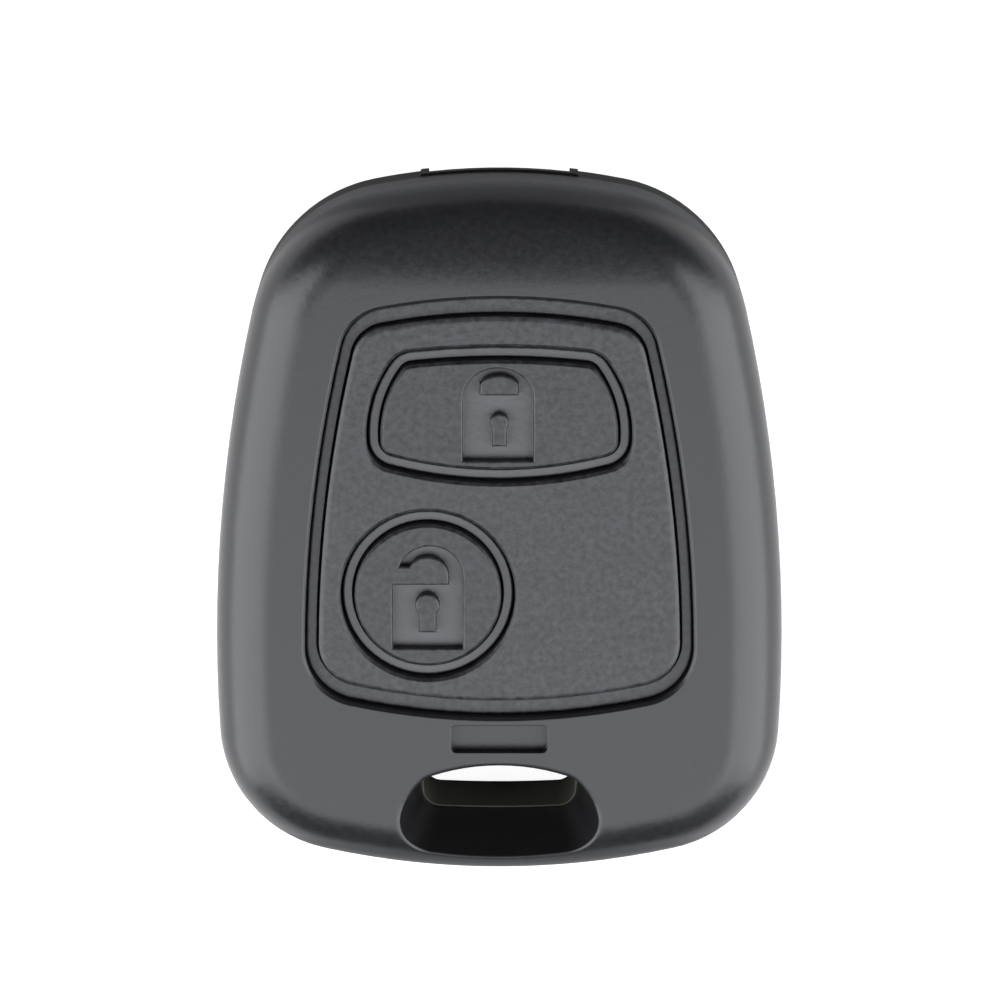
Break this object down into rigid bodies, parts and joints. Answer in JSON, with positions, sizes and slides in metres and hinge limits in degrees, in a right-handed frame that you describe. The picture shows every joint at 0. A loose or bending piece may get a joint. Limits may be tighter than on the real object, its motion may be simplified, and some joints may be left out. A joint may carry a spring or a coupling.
{
  "type": "key fob shell",
  "caption": "Car key fob: snap-together oval plastic shell with a rubber keypad, a lock and an unlock button, a keyring slot and a blade mouth, with the remote board and coin cell inside.",
  "frame": {"origin": "middle of the underside, on the table under the middle of the fob", "axes": "+Z out of the button face, +Y to the narrow end with the blade mouth, +X to the side away from the round unlock button"},
  "size_m": [0.043, 0.0535, 0.014],
  "materials": {
    "shell_plastic": "fine-grained satin",
    "keypad_rubber": "fine matt",
    "board_laminate": "solder-masked",
    "switch_plastic": "moulded",
    "plunger_plastic": "moulded",
    "sheet_steel": "stamped",
    "cell_steel": "satin",
    "package_plastic": "moulded",
    "can_steel": "plated",
    "winding_copper": "enamelled",
    "capacitor_ceramic": "fired",
    "resistor_ceramic": "fired"
  },
  "bodies": {
    "housing": {"upper_shell": "shell_plastic", "lower_shell": "shell_plastic", "keypad_frame": "keypad_rubber", "lock_web": "keypad_rubber", "unlock_web": "keypad_rubber", "circuit_board": "board_laminate", "coin_cell": "cell_steel", "battery_clip_positive": "sheet_steel", "battery_contact_negative": "sheet_steel", "microcontroller": "package_plastic", "resonator": "can_steel", "transponder_coil": "winding_copper", "antenna_loop": "winding_copper", "capacitors": "capacitor_ceramic", "resistors": "resistor_ceramic", "lock_switch_base": "switch_plastic", "lock_switch_cover": "sheet_steel", "lock_switch_dome": "sheet_steel", "unlock_switch_base": "switch_plastic", "unlock_switch_cover": "sheet_steel", "unlock_switch_dome": "sheet_steel"},
    "lock_button": {"lock_button": "keypad_rubber"},
    "unlock_button": {"unlock_button": "keypad_rubber"},
    "lock_plunger": {"lock_switch_plunger": "plunger_plastic"},
    "unlock_plunger": {"unlock_switch_plunger": "plunger_plastic"}
  },
  "joints": [
    {"name": "lock_press", "type": "slide", "parent": "housing", "child": "lock_button", "axis": [0, 0, -1], "range_m": [0, 0.00055], "stiffness_N_per_m": 2000, "deforming": ["lock_web"]},
    {"name": "lock_plunger_press", "type": "slide", "parent": "housing", "child": "lock_plunger", "axis": [0, 0, -1], "range_m": [0, 0.000275], "deforming": ["lock_switch_dome"]},
    {"name": "unlock_press", "type": "slide", "parent": "housing", "child": "unlock_button", "axis": [0, 0, -1], "range_m": [0, 0.00055], "stiffness_N_per_m": 2000, "deforming": ["unlock_web"]},
    {"name": "unlock_plunger_press", "type": "slide", "parent": "housing", "child": "unlock_plunger", "axis": [0, 0, -1], "range_m": [0, 0.000275], "deforming": ["unlock_switch_dome"]}
  ],
  "couplings": [
    {"joint": "lock_plunger_press", "follows": "lock_press", "ratio": 0.5},
    {"joint": "unlock_plunger_press", "follows": "unlock_press", "ratio": 0.5}
  ]
}
